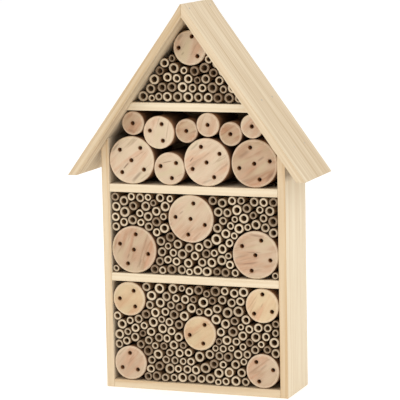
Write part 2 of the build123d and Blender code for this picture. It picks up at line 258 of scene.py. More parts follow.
def log_side_material():
    """Debarked side of a log: long fibres, pinkish brown, with painted shade darkening it towards the back.
    """
    s = Shader("log_side")
    grain = s.attribute("grain")
    fibre = s.noise(grain, (1100, 1100, 30), 3.0, 0.6)
    streak = s.noise(grain, (170, 170, 9), 3.0)
    amount = s.total(-0.85, (streak, 0.9), (fibre, 0.25), (s.attribute("tone"), 1.0), clamp=True)
    colour = s.mix(amount, srgb(176, 130, 94), srgb(118, 76, 50))
    # painted shade towards this dark brown, deeper behind the face
    colour = s.mix(s.attribute("painted_shade_and_marks"), colour, srgb(78, 54, 34))
    normal = s.bump(fibre, 0.5, 0.0006)
    return s.finish(colour, 0.8, normal, 0.2)


def drilled_material():
    """Wall of a drilled hole."""
    s = Shader("drilled_wood")
    grain = s.attribute("grain")
    rough = s.noise(grain, 900.0, 3.0, 0.6)
    colour = s.mix(rough, srgb(178, 128, 84), srgb(128, 86, 52))
    normal = s.bump(rough, 0.5, 0.0005)
    return s.finish(colour, 0.85, normal, 0.15)


def cane_end_material():
    """Sawn end of a cane: pale fibres, with darker vascular dots towards the skin."""
    s = Shader("cane_end")
    grain = s.attribute("grain")
    flat = s.scaled(grain, (1, 1, 0))
    dots = s.noise(flat, 2600.0, 2.0, 0.7)
    patch = s.noise(flat, 260.0, 2.0)
    amount = s.total(-0.5, (s.attribute("tone"), 1.0), (patch, 0.5), (dots, 0.5), clamp=True)
    colour = s.mix(amount, srgb(214, 195, 166), srgb(122, 100, 78))
    colour = s.mix(s.maths("MULTIPLY", s.attribute("rim"), 0.45), colour, srgb(122, 98, 72))
    normal = s.bump(dots, 0.35, 0.0003)
    return s.finish(colour, 0.72, normal, 0.25)


def cane_skin_material():
    """Outer skin of a cane: satin, straw to grey-green, with fine long fibres, and painted shade deeper into
    the bundle.
    """
    s = Shader("cane_skin")
    grain = s.attribute("grain")
    fibre = s.noise(grain, (1500, 1500, 40), 3.0, 0.6)
    blotch = s.noise(grain, (220, 220, 60), 3.0)
    amount = s.total(0.0, (blotch, 0.7), (s.attribute("tone"), 0.6), clamp=True)
    colour = s.mix(amount, srgb(176, 146, 108), srgb(120, 94, 66))
    colour = s.mix(s.maths("MULTIPLY", s.attribute("rim"), 0.5), colour, srgb(110, 86, 58))
    # painted shade: the skin darkens towards this brown away from the sawn end
    colour = s.mix(s.attribute("painted_shade_and_marks"), colour, srgb(128, 98, 68))
    normal = s.bump(fibre, 0.3, 0.0004)
    return s.finish(colour, 0.6, normal, 0.25)


def cane_bore_material():
    """Inside of a cane: dull brown pith."""
    s = Shader("cane_bore")
    grain = s.attribute("grain")
    rough = s.noise(grain, (700, 700, 50), 3.0, 0.6)
    colour = s.mix(rough, srgb(172, 140, 102), srgb(112, 84, 56))
    normal = s.bump(rough, 0.4, 0.0004)
    return s.finish(colour, 0.85, normal, 0.15)


def plywood_material():
    """Thin plywood: rotary-cut face with broad wavy figure."""
    s = Shader("plywood")
    grain = s.attribute("grain")
    wander = s.noise(grain, (14, 14, 4), 3.0, 0.5, 0.4)
    wave = s.maths("FRACT", s.maths("MULTIPLY", wander, 9.0))
    late = s.ramp(wave, [(0.0, 0.6), (0.25, 0.1), (0.75, 0.35), (1.0, 0.6)])
    fibre = s.noise(grain, (700, 700, 18), 3.0, 0.6)
    amount = s.total(0.0, (late, 0.6), (fibre, 0.35), clamp=True)
    colour = s.mix(amount, srgb(226, 200, 158), srgb(186, 148, 104))
    # painted shade: the back panel's face towards the inside darkens to this brown
    colour = s.mix(s.attribute("painted_shade_and_marks"), colour, srgb(92, 68, 46))
    normal = s.bump(fibre, 0.25, 0.0003)
    return s.finish(colour, 0.7, normal, 0.25)


def metal_material(name, colour, roughness):
    """Bare or plated steel with fine scratches and dull patches."""
    s = Shader(name)
    place = s.node("TexCoord").outputs["Object"]
    scratch = s.noise(place, (90, 900, 1800), 3.0, 0.6)
    patch = s.noise(place, 220.0, 3.0)
    shade = s.mix(s.ramp(patch, [(0.35, 0.0), (0.75, 0.6)]), srgb(*colour), srgb(*(c * 0.72 for c in colour)))
    rough = s.ramp(patch, [(0.3, roughness), (0.8, roughness + 0.2)])
    normal = s.bump(scratch, 0.15, 0.0001)
    return s.finish(shade, rough, normal, Metallic=1.0)


def floor_material():
    """Plain pale studio floor."""
    s = Shader("pale_floor")
    place = s.node("TexCoord").outputs["Object"]
    cloud = s.noise(place, 3.0, 2.0)
    colour = s.mix(cloud, (0.90, 0.90, 0.895, 1), (0.92, 0.92, 0.915, 1))
    normal = s.bump(cloud, 0.02, 0.001)
    white = (1, 1, 1, 1)
    return s.finish(colour, 0.9, normal, 0.1, Emission_Color=white, Emission_Strength=0.25)


# ---- reading the frame


def islands(node):
    """The vertex places of each separate solid of a CAD node, in order of x, then z."""
    bm = bmesh.new()
    bm.from_mesh(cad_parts[node].data)
    bmesh.ops.remove_doubles(bm, verts=bm.verts, dist=1e-6)
    waiting = set(bm.verts)
    found = []
    while waiting:
        stack = [waiting.pop()]
        solid = []
        while stack:
            vert = stack.pop()
            solid.append(tuple(vert.co))
            for edge in vert.link_edges:
                other = edge.other_vert(vert)
                if other in waiting:
                    waiting.remove(other)
                    stack.append(other)
        found.append(np.array(sorted(solid)))
    bm.free()
    return sorted(found, key=lambda s: tuple(np.round((s.min(0) + s.max(0)) / 2, 5)))


def turn_at(before, corner, after):
    """Sine of the left turn at a corner."""
    return (corner - before).normalized().cross((after - corner).normalized())


def outline_of(node):
    """Corners of a board's outline seen from the front, in order round it."""
    low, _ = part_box(node)
    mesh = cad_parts[node].data
    front = [v.co for v in mesh.vertices if v.co.y < low.y + ON_FACE]
    flat = [Vector(place) for place in sorted({(round(p.x, 6), round(p.z, 6)) for p in front})]
    corners = []
    for chain in (flat, flat[::-1]):
        run = []
        for point in chain:
            while len(run) > 1 and turn_at(run[-2], run[-1], point) < 0.02:
                run.pop()
            run.append(point)
        corners += run[:-1]
    return corners


class Round:
    """Place and size of an upright-faced round solid, such as a log or a cane, from its vertices."""

    def __init__(self, solid):
        low = solid.min(0)
        high = solid.max(0)
        self.x = (low[0] + high[0]) / 2
        self.z = (low[2] + high[2]) / 2
        self.radius = (high[2] - low[2]) / 2
        self.front = low[1]
        self.rear = high[1]
        face = solid[solid[:, 1] < self.front + ON_FACE]
        self.face = face[:, [0, 2]] - (self.x, self.z)


# ---- mesh building

# The third attribute is painted shade on the side panels, log sides, cane skins and back panel, and drying
# marks on the log faces.
ATTRIBUTES = ("tone", "rim", "painted_shade_and_marks")


class Surface:
    """Collects points with their shading attributes, and faces with their material number."""

    def __init__(self):
        self.places = []
        self.grain = []
        self.values = {name: [] for name in ATTRIBUTES}
        self.faces = []
        self.materials = []

    def point(self, place, grain=None, tone=0.5, rim=0.0, painted_shade_and_marks=0.0):
        """Adds a point and returns its number. Its grain is its own place unless given."""
        self.places.append(place)
        self.grain.append(grain or place)
        for name, value in zip(ATTRIBUTES, (tone, rim, painted_shade_and_marks)):
            self.values[name].append(value)
        return len(self.places) - 1

    def face(self, corners, material=0):
        self.faces.append(corners)
        self.materials.append(material)

    def stitch(self, loop, following, material=0):
        """Quads between two loops with the same number of points. Returns the second loop."""
        for i in range(len(loop)):
            j = (i + 1) % len(loop)
            self.face((loop[i], loop[j], following[j], following[i]), material)
        return following

    def cap(self, loop, centre, material=0):
        """A fan of triangles from a loop to its centre point."""
        for i in range(len(loop)):
            self.face((loop[i], loop[(i + 1) % len(loop)], centre), material)

    def sheet(self, points, triangles, numbers, is_open):
        """Faces for all triangles but those whose middle is in an opening."""
        for triangle in triangles:
            middle = [sum(points[i][axis] for i in triangle) / 3 for axis in (0, 1)]
            if not is_open(middle):
                self.face(tuple(numbers[i] for i in triangle))

    def show(self, node, materials, smooth=35.0):
        """Makes the mesh and shows it in place of a CAD node."""
        mesh = bpy.data.meshes.new(node)
        mesh.from_pydata(self.places, [], self.faces)
        for material in materials:
            mesh.materials.append(material)
        mesh.polygons.foreach_set("material_index", self.materials)
        set_attributes(mesh, self.grain, self.values)
        show_piece(node, mesh, smooth)


def set_attributes(mesh, grain, values):
    """Writes the shading attributes, one value for each vertex."""
    vector = mesh.attributes.new("grain", "FLOAT_VECTOR", "POINT")
    vector.data.foreach_set("vector", np.array(grain, np.float32).ravel())
    for name in ATTRIBUTES:
        layer = mesh.attributes.new(name, "FLOAT", "POINT")
        layer.data.foreach_set("value", np.array(values[name], np.float32))


def show_piece(node, mesh, smooth):
    """Shows a mesh in place of a CAD node. It rides on the object.

    Its normals point outwards, and it is smooth up to an angle in degrees.
    """
    bm = bmesh.new()
    bm.from_mesh(mesh)
    bmesh.ops.recalc_face_normals(bm, faces=bm.faces)
    bm.to_mesh(mesh)
    bm.free()
    mesh.shade_smooth()
    mesh.set_sharp_from_angle(angle=math.radians(smooth))
    piece = add_object(node, mesh)
    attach(piece, "root")
    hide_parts(node)


def angles(count):
    """Equal steps round a circle."""
    return [2 * math.pi * i / count for i in range(count)]


def circle(radius, count, centre):
    """Points of a circle, as (x, z) pairs."""
    return [(centre[0] + radius * math.cos(a), centre[1] + radius * math.sin(a)) for a in angles(count)]


def triangulate(loops, extra):
    """Triangles over the area inside the first loop, through the other loops and the extra points.

    Returns the points and the triangles. The loops' points come first, in order.
    """
    points = []
    edges = []
    for loop in loops:
        first = len(points)
        points += loop
        edges += [(first + i, first + (i + 1) % len(loop)) for i in range(len(loop))]
    points += extra
    # the triangulation is done in millimetres, because its tolerances are absolute
    flat = [Vector((x / MM, z / MM)) for x, z in points]
    _, _, faces, origins, _, _ = delaunay_2d_cdt(flat, edges, [], 1, 1e-5, True)
    back = [source[0] for source in origins]
    triangles = [tuple(back[i] for i in face) for face in faces]
    return points, triangles


def inside(point, centre, radius):
    return math.dist(point, centre) < radius


# ---- logs

LOG_SEGMENTS = 84
HOLE_SEGMENTS = 20
FACE_SPACING = 2.0 * MM
ROW_PITCH = 0.87
LOG_BEVEL = 1.3 * MM
DRILL_RADIUS = 2.5 * MM
DRILL_RIM = 0.3 * MM
HOLE_GAP = 5.5 * MM
HOLE_RING = 3.2 * MM
MARK_CLEAR = 3.5 * MM
POINT_CLEAR = 4.3 * MM
DRILL_STATIONS = (0.6, 3, 9, 20, 36, 52)
LOG_STATIONS = (5, 11, 18, 27, 38, 50, 62)

# For each log: how brown it is, the way its figure slants in degrees, and where its pith is, in mm.
LOG_LOOKS = {
    "attic_log": (0.48, 60, (3, 2)),
    "log_room_small_log_1": (0.80, 50, (1, 1)),
    "log_room_small_log_2": (0.90, 20, (-1, 1)),
    "log_room_small_log_3": (0.52, 70, (1, -2)),
    "log_room_small_log_4": (0.90, 30, (0, 1)),
    "log_room_small_log_5": (0.46, 50, (1, 0)),
    "log_room_slim_log_1": (0.26, 75, (2, 1)),
    "log_room_slim_log_2": (0.46, 25, (-2, 3)),
    "log_room_large_log_1": (0.30, 42, (3, -2)),
    "log_room_large_log_2": (0.34, 40, (-3, 3)),
    "log_room_large_log_3": (0.80, 28, (2, -4)),
    "middle_room_log_left": (0.78, 68, (4, 3)),
    "middle_room_log_centre": (0.52, 45, (-4, -2)),
    "middle_room_log_right": (0.60, 12, (2, 4)),
    "bottom_room_log_top_left": (0.50, 50, (2, -2)),
    "bottom_room_log_top_right": (0.28, 60, (-2, 2)),
    "bottom_room_log_centre": (0.46, 35, (3, 1)),
    "bottom_room_log_low_left": (0.58, 48, (-2, -3)),
    "bottom_room_log_low_right": (0.60, 38, (2, 3)),
}

# These logs are yellower than the others.
WARM_LOGS = ("bottom_room_log_top_left", "bottom_room_log_top_right", "bottom_room_log_centre")

# Drying marks on a log's face: start and end in mm from its centre, half-width in mm and darkness.
LOG_MARKS = {
    "log_room_large_log_1": [
        ((-3.5, -3), (-11, -11), 0.6, 0.75),
        ((14, -13), (0, -27), 1.3, 0.55),
        ((-26, 9), (-16, 21), 0.8, 0.35),
    ],
    "log_room_large_log_2": [
        ((-22, 0), (-17, 6), 0.5, 0.7),
        ((8, -20), (-6, -26), 1.0, 0.3),
        ((-21, 14), (-10, 24), 0.8, 0.3),
    ],
    "log_room_large_log_3": [
        ((4, 3), (13, 9), 0.9, 0.4),
        ((26, -8), (14, -22), 1.0, 0.4),
        ((-20, 6), (-6, 16), 1.4, 0.3),
    ],
    "middle_room_log_left": [((-6, -5), (-9, -12), 0.6, 0.4), ((10, -11), (6, -22), 0.7, 0.35)],
    "middle_room_log_centre": [((-9, 10), (-15, 5), 0.7, 0.4)],
    "middle_room_log_right": [
        ((-13, 3.6), (9, 3.2), 0.4, 0.45),
        ((-7, 25), (12, 23), 1.0, 0.45),
        ((-17, -12), (4, -9), 0.9, 0.25),
    ],
    "log_room_slim_log_1": [((4, -9), (9, -7), 0.7, 0.35)],
    "log_room_slim_log_2": [((-9, 7), (4, 10), 0.5, 0.55)],
    "log_room_small_log_1": [((-7, -8), (3, -11), 1.0, 0.3)],
    "bottom_room_log_low_right": [((-3, 1), (6, 9), 0.8, 0.3)],
    "attic_log": [((-7, -5), (-11, -9), 0.6, 0.4), ((-16, 9), (-8, 17), 1.4, 0.35)],
}


def hole_centres(log):
    """Centres of the drilled holes, read from the hole rims on the CAD log's face."""
    rims = [p for p in log.face if math.hypot(*p) < log.radius - DRILL_RADIUS]
    groups = []
    for point in rims:
        near = [g for g in groups if min(math.dist(point, q) for q in g) < HOLE_GAP]
        merged = [tuple(point)] + [q for g in near for q in g]
        groups = [g for g in groups if g not in near] + [merged]
    rings = [np.array(group) for group in groups]
    return sorted(tuple((ring.min(0) + ring.max(0)) / 2) for ring in rings)


# Rows of points along a mark: how many half-widths aside, and the share of its darkness.
MARK_ROWS = ((-2, 0.0), (-1, 0.6), (0, 1.0), (1, 0.6), (2, 0.0))


def mark_points(marks, holes, reach):
    """Five rows of points along each mark, clear of the holes and the rim, with how dark each one is."""
    shade = {}
    for start, end, half, dark in marks:
        a = Vector(start) * MM
        b = Vector(end) * MM
        aside = Vector((a.y - b.y, b.x - a.x)).normalized() * half * MM
        count = max(5, round((b - a).length / (0.9 * MM)))
        for i in range(count + 1):
            for row, share in MARK_ROWS:
                place = tuple(a.lerp(b, i / count) + aside * row)
                clear = all(not inside(place, h, MARK_CLEAR) for h in holes)
                if clear and math.hypot(*place) < reach:
                    shade[place] = share * dark * (1 - abs(2 * i / count - 1) ** 3)
    return shade


def log_face_points(outer, holes, blocked, draw):
    """Loose points over a log's face, clear of its rim, holes and marks."""
    reach = outer - 1.1 * MM
    points = []
    rows = int(reach / (FACE_SPACING * ROW_PITCH)) + 1
    for row in range(-rows, rows + 1):
        for column in range(-rows - 2, rows + 3):
            x = (column + 0.5 * (row % 2)) * FACE_SPACING + draw.uniform(-0.3, 0.3) * MM
            z = row * FACE_SPACING * ROW_PITCH + draw.uniform(-0.3, 0.3) * MM
            clear = all(not inside((x, z), h, POINT_CLEAR) for h in holes)
            clear = clear and all(not inside((x, z), b, 1.0 * MM) for b in blocked)
            if clear and math.hypot(x, z) < reach:
                points.append((x, z))
    return points


def build_log(node, materials):
    """A debarked log: a face with rim bevel and drying marks, holes drilled through, a fibrous side."""
    log = Round(islands(node)[0])
    tone, slant, pith = LOG_LOOKS[node]
    draw = random.Random(node)
    lot = draw.uniform(0, 50)
    phase = [draw.uniform(0, 2 * math.pi) for _ in range(3)]
    turn = math.radians(slant)
    surface = Surface()
    holes = hole_centres(log)

    def wobble(angle):
        shape = math.cos(2 * angle + phase[0]) * 0.5 + math.cos(3 * angle + phase[1]) * 0.3
        return 1 - 0.004 - 0.004 * shape

    def add(x, z, y, **values):
        dx = x - pith[0] * MM
        dz = z - pith[1] * MM
        across = -dx * math.sin(turn) + dz * math.cos(turn)
        along = dx * math.cos(turn) + dz * math.sin(turn)
        return surface.point((log.x + x, y, log.z + z), (across, along, y + lot), tone, **values)

    def edge_loop(radius):
        reach = [(a, radius * wobble(a)) for a in angles(LOG_SEGMENTS)]
        return [(r * math.cos(a), r * math.sin(a)) for a, r in reach]

    def ring(radius, y, **values):
        return [add(x, z, y, **values) for x, z in edge_loop(radius)]

    def in_hole(place):
        return any(inside(place, h, DRILL_RADIUS * 0.98) for h in holes)

    def open_face(loops, extra, add_point):
        """A flat face with the holes left open. Returns its points' numbers."""
        points, triangles = triangulate(loops, extra)
        numbers = [add_point(x, z) for x, z in points]
        surface.sheet(points, triangles, numbers, in_hole)
        return numbers

    rim_radius = log.radius - LOG_BEVEL
    shade = mark_points(LOG_MARKS.get(node, []), holes, rim_radius - 0.3 * MM)
    extra = [p for h in holes for p in circle(HOLE_RING, HOLE_SEGMENTS, h)]
    extra += list(shade) + log_face_points(rim_radius, holes, shade, draw)
    loops = [edge_loop(rim_radius)] + [circle(DRILL_RADIUS + DRILL_RIM, HOLE_SEGMENTS, h) for h in holes]

    def front_point(x, z):
        nearest = min(math.dist((x, z), h) for h in holes)
        saw = 0.10 * MM * noise.noise(Vector((x * 260, z * 90, lot)))
        edge = max(0.0, 1 - (rim_radius - math.hypot(x, z)) / (1.2 * MM))
        mark = shade.get((x, z), 0.0)
        # darker for the drying marks, and up to a quarter darker within 1.2 mm of each hole's edge
        painted_shade_and_marks = max(mark, max(0.0, 1 - (nearest - DRILL_RADIUS) / (1.2 * MM)) * 0.25)
        return add(x, z, log.front + 0.1 * MM + saw + 0.3 * MM * mark, rim=min(1.0, edge), painted_shade_and_marks=painted_shade_and_marks)

    numbers = open_face(loops, extra, front_point)
    shoulder = ring(log.radius - 0.25 * MM, log.front + LOG_BEVEL * 0.85, rim=1.0)
    surface.stitch(numbers[:LOG_SEGMENTS], shoulder)
    loop = surface.stitch(shoulder, ring(log.radius, log.front + LOG_BEVEL * 1.3, rim=0.3))
    for station in LOG_STATIONS:
        y = log.front + station * MM
        swell = 0.25 * MM * (noise.noise(Vector((station * 0.21, lot, 0))) - 0.4)
        # painted shade on the side, growing with the distance behind the face
        following = ring(log.radius + min(swell, 0), y, painted_shade_and_marks=min(0.9, 0.15 + station / 26))
        loop = surface.stitch(loop, following, 1)
    rear_loops = [edge_loop(log.radius - 0.6 * MM)] + [circle(DRILL_RADIUS, HOLE_SEGMENTS, h) for h in holes]
    rear = open_face(rear_loops, [], lambda x, z: add(x, z, log.rear))
    surface.stitch(loop, rear[:LOG_SEGMENTS], 1)

    for n, hole in enumerate(holes):
        first = LOG_SEGMENTS + n * HOLE_SEGMENTS
        loop = numbers[first : first + HOLE_SEGMENTS]
        for depth in DRILL_STATIONS:
            y = log.front + depth * MM
            following = [add(x, z, y) for x, z in circle(DRILL_RADIUS, HOLE_SEGMENTS, hole)]
            loop = surface.stitch(loop, following, 2)
        surface.stitch(loop, rear[first : first + HOLE_SEGMENTS], 2)
    surface.show(node, materials)


# ---- canes

CANE_SEGMENTS = 20


def cane_stations(length, knuckle):
    """Distances from the front at which the skin has a ring, closer together at a knuckle."""
    stations = [1.2, 4.0, 10.0, 20.0, 32.0, 44.0, 56.0, length - 0.4]
    if knuckle:
        stations = [s for s in stations if abs(s - knuckle) > 4.0]
        stations += [knuckle + step for step in (-3.0, -1.3, -0.5, 0.3, 1.0, 3.0)]
    return sorted(stations)


def knuckle_swell(distance, knuckle):
    """How far the skin stands out near a knuckle, in mm."""
    if not knuckle:
        return 0.0
    offset = distance - knuckle
    ridge = 0.3 * math.exp(-((offset + 0.5) ** 2) / 0.5)
    band = 0.18 * math.exp(-((offset - 1.0) ** 2) / 1.2)
    return ridge + band


def add_cane(surface, solid, draw, plugged):
    """One length of bamboo: sawn rim, hollow unless plugged, skin with a knuckle here and there."""
    cane = Round(solid)
    bore = min(math.hypot(*p) for p in cane.face)
    length = (cane.rear - cane.front) / MM
    tone = draw.choice((0.1, 0.1, 0.1, 0.4, 0.4, 0.8)) + draw.uniform(-0.1, 0.15)
    lot = draw.uniform(0, 90)
    phase = [draw.uniform(0, 2 * math.pi) for _ in range(4)]
    shape = [draw.uniform(0.0, 0.035), draw.uniform(0.0, 0.015)]
    tilt = [draw.uniform(-0.05, 0.05), draw.uniform(-0.05, 0.05)]
    shift = [draw.uniform(-0.07, 0.07) * bore, draw.uniform(-0.07, 0.07) * bore]
    bend = [draw.uniform(-0.3, 0.3) * MM, draw.uniform(-0.3, 0.3) * MM]
    knuckle = draw.uniform(9, length - 12) if draw.random() < 0.6 else None

    def place(angle, radius, distance, inner, **values):
        ripple = shape[0] * math.cos(2 * angle + phase[0]) + shape[1] * math.cos(3 * angle + phase[1])
        reach = radius * (1 + ripple - (0.0 if inner else 0.012))
        x = reach * math.cos(angle) + (shift[0] if inner else 0)
        z = reach * math.sin(angle) + (shift[1] if inner else 0)
        fade = max(0.0, 1 - distance / 8)
        slope = (tilt[0] * x + tilt[1] * z) * fade
        sag = math.sin(math.pi * min(1, distance / length))
        y = cane.front + distance * MM + slope + (0.06 * MM if distance == 0 else 0)
        y = max(y, cane.front - 0.3 * MM)
        at = (cane.x + x + bend[0] * sag, y, cane.z + z + bend[1] * sag)
        return surface.point(at, (x, z, y + lot), tone, **values)

    def ring(radius, distance, inner=False, **values):
        return [place(a, radius, distance, inner, **values) for a in angles(CANE_SEGMENTS)]

    wall = cane.radius - bore
    bottom = 3.0 if plugged else length
    innermost = ring(bore, bottom, True)
    if plugged:
        surface.cap(innermost, place(0, 0, bottom + 0.5, True), 2)
    loop = innermost
    for distance in (0.75, 0.5, 0.3, 0.12, 0.03):
        loop = surface.stitch(loop, ring(bore, bottom * distance, True), 2)
    steps = [(bore, 0.35, True, 0.0), (bore + 0.10 * wall, 0.0, True, 0.0)]
    steps += [(bore + 0.55 * wall, 0.0, False, 0.1), (bore + 0.88 * wall, 0.0, False, 0.7)]
    for radius, distance, inner, rim in steps:
        loop = surface.stitch(loop, ring(radius, distance, inner, rim=rim))
    loop = surface.stitch(loop, ring(cane.radius, 0.3, rim=1.0))
    for distance in cane_stations(length, knuckle):
        swell = knuckle_swell(distance, knuckle)
        # painted shade on the skin, growing with the distance behind the sawn end
        shade = min(1.0, 0.35 + distance / 14)
        following = ring(cane.radius + swell * MM, distance, rim=min(1.0, swell * 2.5), painted_shade_and_marks=shade)
        loop = surface.stitch(loop, following, 1)
    rear = surface.stitch(loop, ring(cane.radius - 0.3 * MM, length))
    if plugged:
        surface.cap(rear, place(0, 0, length, False))
    else:
        surface.stitch(rear, innermost)


# About where the cane with the plugged end is, as (x, z).
PLUGGED_CANE = (38 * MM, 28 * MM)


def nearest_cane(nodes, target):
    """Node and number of the cane whose middle is nearest to an (x, z) place."""
    away = {}
    for node in nodes:
        for number, solid in enumerate(islands(node)):
            cane = Round(solid)
            away[node, number] = math.dist((cane.x, cane.z), target)
    return min(away, key=away.get)


def build_bundle(node, materials, plugged):
    """One bundle of canes, as one piece."""
    surface = Surface()
    draw = random.Random(node)
    for number, solid in enumerate(islands(node)):
        add_cane(surface, solid, draw, (node, number) == plugged)
    surface.show(node, materials, 40.0)


# ---- boards

BOARD_CELL = 9 * MM
BOARD_BEVEL = 0.35 * MM
SHARP_EDGE = 0.4
NEAR_FACE = 0.33 * MM

# Painted shade on the side panels' outer faces, for the corner under the roof: it starts this far below the
# eaves, grows over this height, up to this much.
PAINTED_SHADE_BELOW = 4 * MM
PAINTED_SHADE_FADE = 12 * MM
PAINTED_SHADE_MOST = 0.6


def lattice(corners, shoulder, y_front, y_rear):
    """A closed grid over a board. corners run round its outline, the first side being a long one.

    A shoulder is a fifth corner on the first side, beside one of its ends.
    """
    a, b, c, d = corners
    along = max(2, round(((b - a).length + (c - d).length) / 2 / BOARD_CELL))
    across = 3
    deep = max(2, round((y_rear - y_front) / BOARD_CELL))
    bm = bmesh.new()
    grid = {}

    def vert(i, j, k):
        if (i, j, k) not in grid:
            u = i / along
            v = j / across
            flat = (a * (1 - u) + b * u) * (1 - v) + (d * (1 - u) + c * u) * v
            y = y_front + (y_rear - y_front) * k / deep
            grid[i, j, k] = bm.verts.new((flat.x, y, flat.y))
        return grid[i, j, k]

    for i in range(along):
        for j in range(across):
            for k in (0, deep):
                bm.faces.new([vert(i, j, k), vert(i + 1, j, k), vert(i + 1, j + 1, k), vert(i, j + 1, k)])
    for i in range(along):
        for k in range(deep):
            for j in (0, across):
                bm.faces.new([vert(i, j, k), vert(i + 1, j, k), vert(i + 1, j, k + 1), vert(i, j, k + 1)])
    for j in range(across):
        for k in range(deep):
            for i in (0, along):
                bm.faces.new([vert(i, j, k), vert(i, j + 1, k), vert(i, j + 1, k + 1), vert(i, j, k + 1)])
    if shoulder:
        near = min(range(1, along), key=lambda i: abs(grid[i, 0, 0].co.x - shoulder.x))
        for k in range(deep + 1):
            grid[near, 0, k].co.x = shoulder.x
            grid[near, 0, k].co.z = shoulder.y
    bmesh.ops.recalc_face_normals(bm, faces=bm.faces)
    return bm


def soften(bm, width, seed, low, high):
    """Rounds the sharp edges, then adds the slight unevenness of planed wood, within the CAD box."""
    sharp = [e for e in bm.edges if len(e.link_faces) == 2 and e.calc_face_angle() > SHARP_EDGE]
    bmesh.ops.bevel(bm, geom=sharp, offset=width, segments=3, profile=0.55, affect="EDGES")
    bm.normal_update()
    for vert in bm.verts:
        place = vert.co * 60 + Vector((seed, 0, 0))
        push = (noise.noise(place) - 0.5) * 0.12 * MM
        place = vert.co * 400 + Vector((0, seed, 0))
        push += (noise.noise(place) - 0.5) * 0.06 * MM
        moved = vert.co + vert.normal * min(0.0, push)
        vert.co = Vector(min(max(moved[i], low[i]), high[i]) for i in range(3))


def build_board(node, material, slot, seed, tone, pith, sawn):
    """A pine board, its grain along the first side of its outline, and its front edge darker by sawn.

    The side panels get painted shade on the outside towards the corner under the roof.
    """
    low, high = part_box(node)
    corners, shoulder = board_corners(node)
    bm = lattice(corners, shoulder, low.y, high.y)
    soften(bm, BOARD_BEVEL, seed, low, high)
    mesh = bpy.data.meshes.new(node)
    bm.to_mesh(mesh)
    bm.free()
    mesh.materials.append(material)
    along = (corners[1] - corners[0]).normalized()
    aside = Vector((-along.y, along.x))
    grain = []
    tones = []
    shades = []
    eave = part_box("left_roof_board")[0].z
    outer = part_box("right_side_panel")[1].x
    for vert in mesh.vertices:
        flat = Vector((vert.co.x, vert.co.z))
        w = flat.dot(along) + seed * 3.7
        grain.append((vert.co.y + pith[0] * MM, (flat - corners[0]).dot(aside) + pith[1] * MM, w))
        tones.append(tone + (sawn if vert.co.y < low.y + NEAR_FACE else 0))
        # painted shade in the corner under the eaves, on the side panels' outer faces only
        sheltered = "side_panel" in node and abs(flat.x) > outer - NEAR_FACE
        rise = max(0.0, flat.y - eave + PAINTED_SHADE_BELOW)
        shades.append(min(PAINTED_SHADE_MOST, rise / PAINTED_SHADE_FADE) if sheltered else 0.0)
    set_attributes(mesh, grain, {"tone": tones, "rim": [0.0] * len(grain), "painted_shade_and_marks": shades})
    show_piece(node, mesh, 30.0)


def board_corners(node):
    """Four outline corners, the longest side first, and the shoulder that a roof board has at the ridge."""
    corners = outline_of(node)
    shoulder = None
    if len(corners) > 4:
        shoulder = max(sorted(corners, key=lambda p: p.y)[-2:], key=lambda p: abs(p.x))
        corners.remove(shoulder)
    lengths = [(corners[(i + 1) % 4] - corners[i]).length for i in range(4)]
    first = lengths.index(max(lengths))
    return corners[first:] + corners[:first], shoulder


# ---- back panel

PANEL_CELL = 8 * MM
PANEL_SWELL = 0.03
WINDOW_SEGMENTS = 32


def build_back_panel(material):
    """The plywood back: a flat sheet with a round window behind the hanger, its inner face darkened with
    painted shade.
    """
    low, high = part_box("back_panel")
    centre = Vector(((low.x + high.x) / 2, (low.z + high.z) / 2))
    # drawn in by a hair, so that the swell of the sides below stays inside the CAD's box
    outline = [centre.lerp(corner, 0.9998) for corner in outline_of("back_panel")]
    window = window_of_back(low)
    edge = []
    for i, here in enumerate(outline):
        there = outline[(i + 1) % len(outline)]
        steps = max(2, round((there - here).length / PANEL_CELL))
        # a hair's swell outwards keeps the points of a side from making flat triangles among themselves
        swell = Vector((there.y - here.y, here.x - there.x)).normalized() * PANEL_SWELL * MM
        for n in range(steps):
            edge.append(tuple(here.lerp(there, n / steps) + swell * math.sin(math.pi * n / steps)))
    ring = circle(window[2], WINDOW_SEGMENTS, window[:2])
    extra = []
    for row in range(int((high.z - low.z) / PANEL_CELL)):
        for column in range(int((high.x - low.x) / PANEL_CELL)):
            x = low.x + (column + 0.5) * PANEL_CELL
            z = low.z + (row + 0.5) * PANEL_CELL
            slope = outline_top(outline, x)
            clear = z < slope - 5 * MM and abs(x) < high.x - 4 * MM
            if clear and not inside((x, z), window[:2], window[2] + 4 * MM):
                extra.append((x, z))
    points, triangles = triangulate([edge, ring], extra)
    surface = Surface()

    def in_window(place):
        return inside(place, window[:2], window[2])

    sides = []
    # the face towards the inside gets painted shade, the rear face none
    for y, shade in ((low.y, 0.8), (high.y, 0.0)):
        numbers = [surface.point((x, y, z), painted_shade_and_marks=shade) for x, z in points]
        surface.sheet(points, triangles, numbers, in_window)
        sides.append(numbers)
    front, rear = sides
    rim = slice(len(edge), len(edge) + WINDOW_SEGMENTS)
    surface.stitch(front[: len(edge)], rear[: len(edge)])
    surface.stitch(front[rim], rear[rim])
    surface.show("back_panel", [material])


def outline_top(outline, x):
    """Height of the top of the back panel at x."""
    ridge = max(outline, key=lambda p: p.y)
    shoulder = max((p for p in outline if p.x > 50 * MM), key=lambda p: p.y)
    return ridge.y + (shoulder.y - ridge.y) * abs(x - ridge.x) / (shoulder.x - ridge.x)


def window_of_back(low):
    """Middle and radius of the hanger's window in the back panel."""
    plate_low, plate_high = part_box("hanger_plate")
    x = (plate_low.x + plate_high.x) / 2
    z = (plate_low.z + plate_high.z) / 2
    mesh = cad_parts["back_panel"].data
    flat = [(v.co.x, v.co.z) for v in mesh.vertices if v.co.y < low.y + ON_FACE]
    near = [math.dist(p, (x, z)) for p in flat if math.dist(p, (x, z)) < 12 * MM]
    return x, z, max(near)


